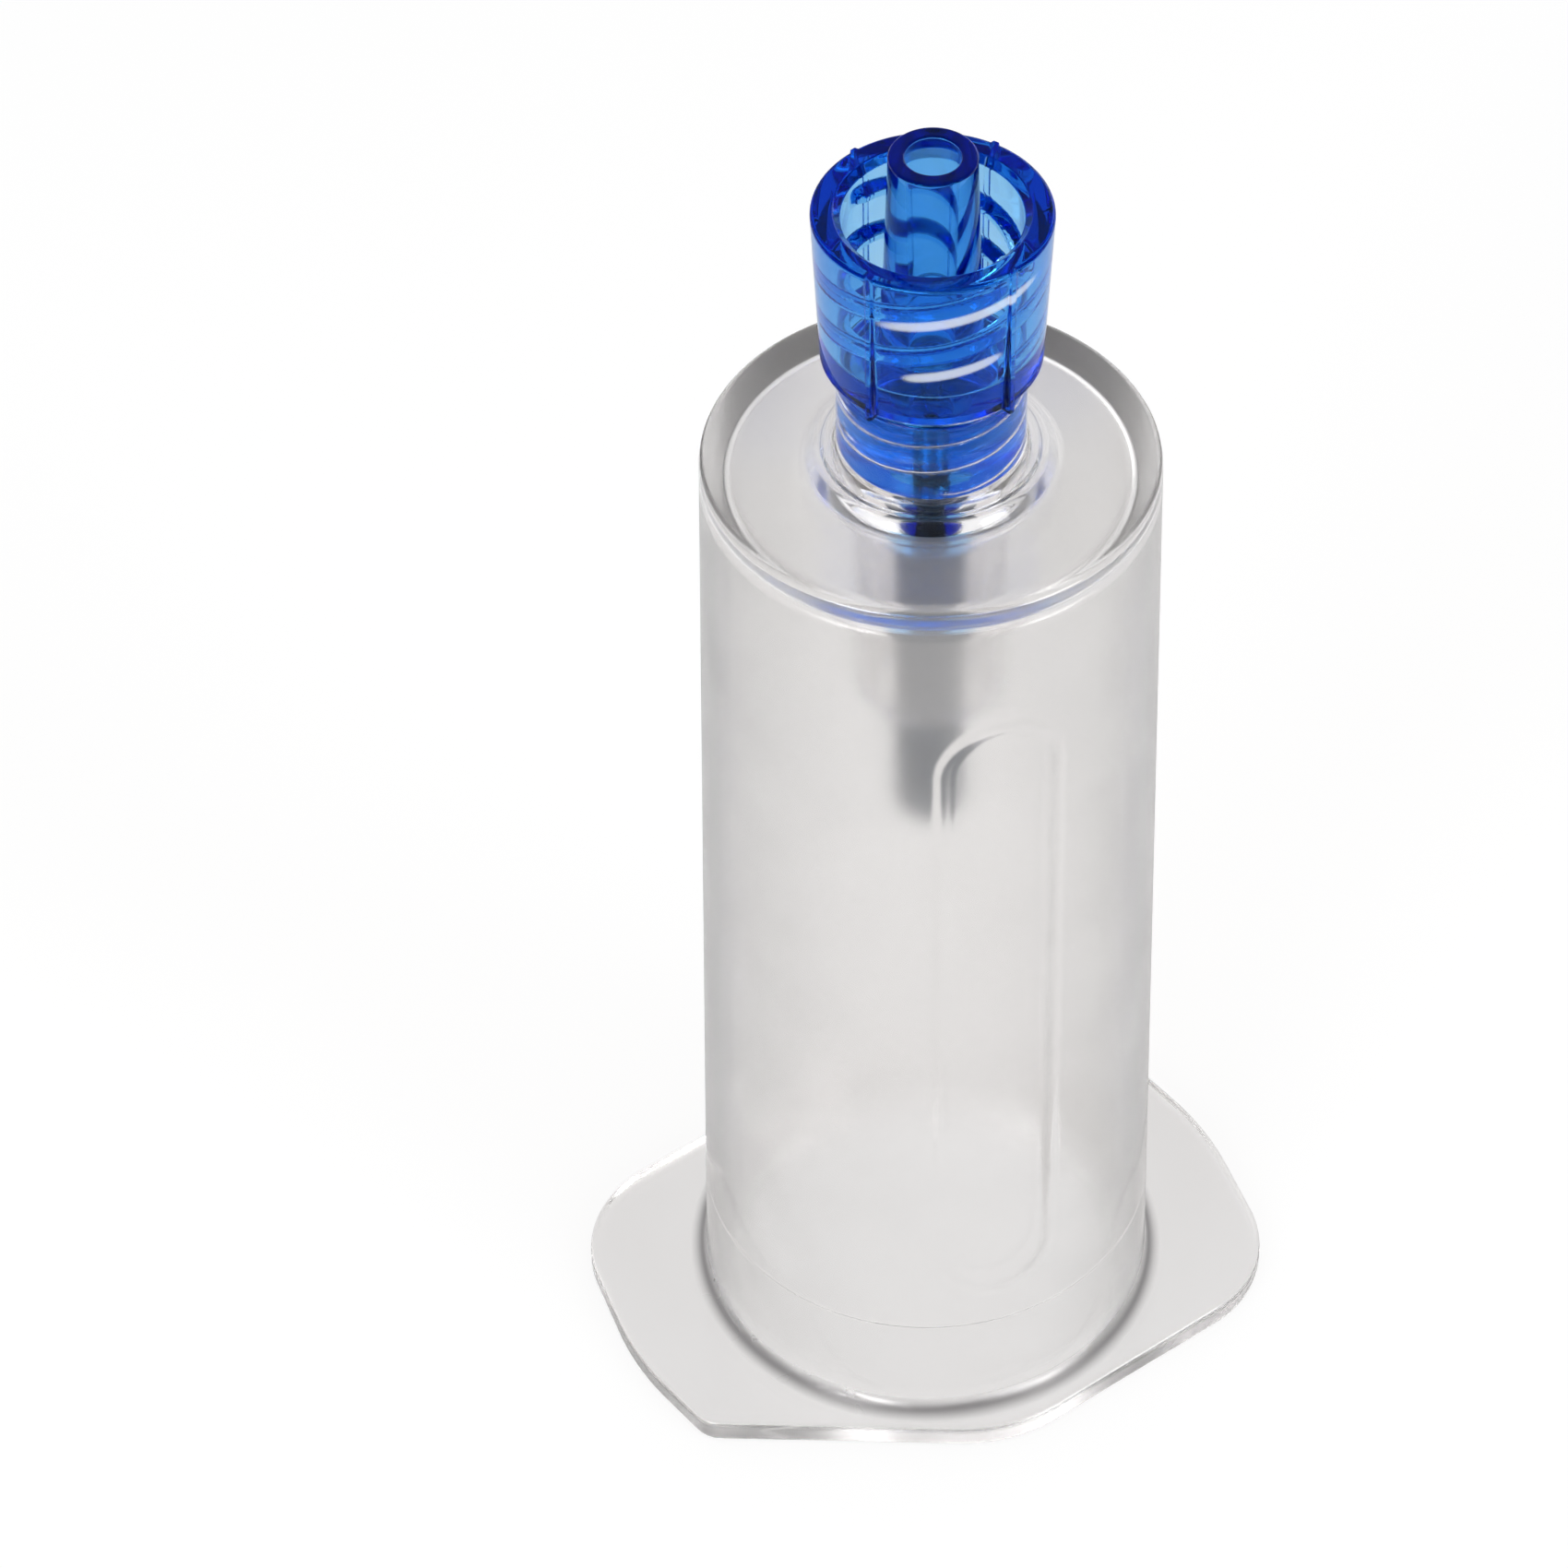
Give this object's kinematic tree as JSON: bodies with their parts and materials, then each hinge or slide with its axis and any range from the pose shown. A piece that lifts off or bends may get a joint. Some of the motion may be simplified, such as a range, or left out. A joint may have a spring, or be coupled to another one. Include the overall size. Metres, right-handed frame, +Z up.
{
  "type": "luer adapter",
  "caption": "Male luer lock adapter fixed on the closed end of a clear flanged tube holder, with a rubber-sleeved rear needle inside.",
  "frame": {"origin": "middle of the flange's lower face, on the barrel's axis", "axes": "+Z up the barrel to the male luer tip, -Y the side with the raised loop, turned 18 degrees from the loop's middle"},
  "size_m": [0.0342, 0.0248, 0.0736],
  "materials": {
    "clear_plastic": "clear, slightly frosted polypropylene",
    "blue_plastic": "see-through blue, gloss",
    "cannula_steel": "drawn and polished tube",
    "sleeve_rubber": "matte dark grey rubber"
  },
  "bodies": {
    "root": {"holder": "clear_plastic", "luer_adapter": "blue_plastic", "rear_cannula": "cannula_steel", "rubber_sleeve": "sleeve_rubber"}
  },
  "joints": []
}
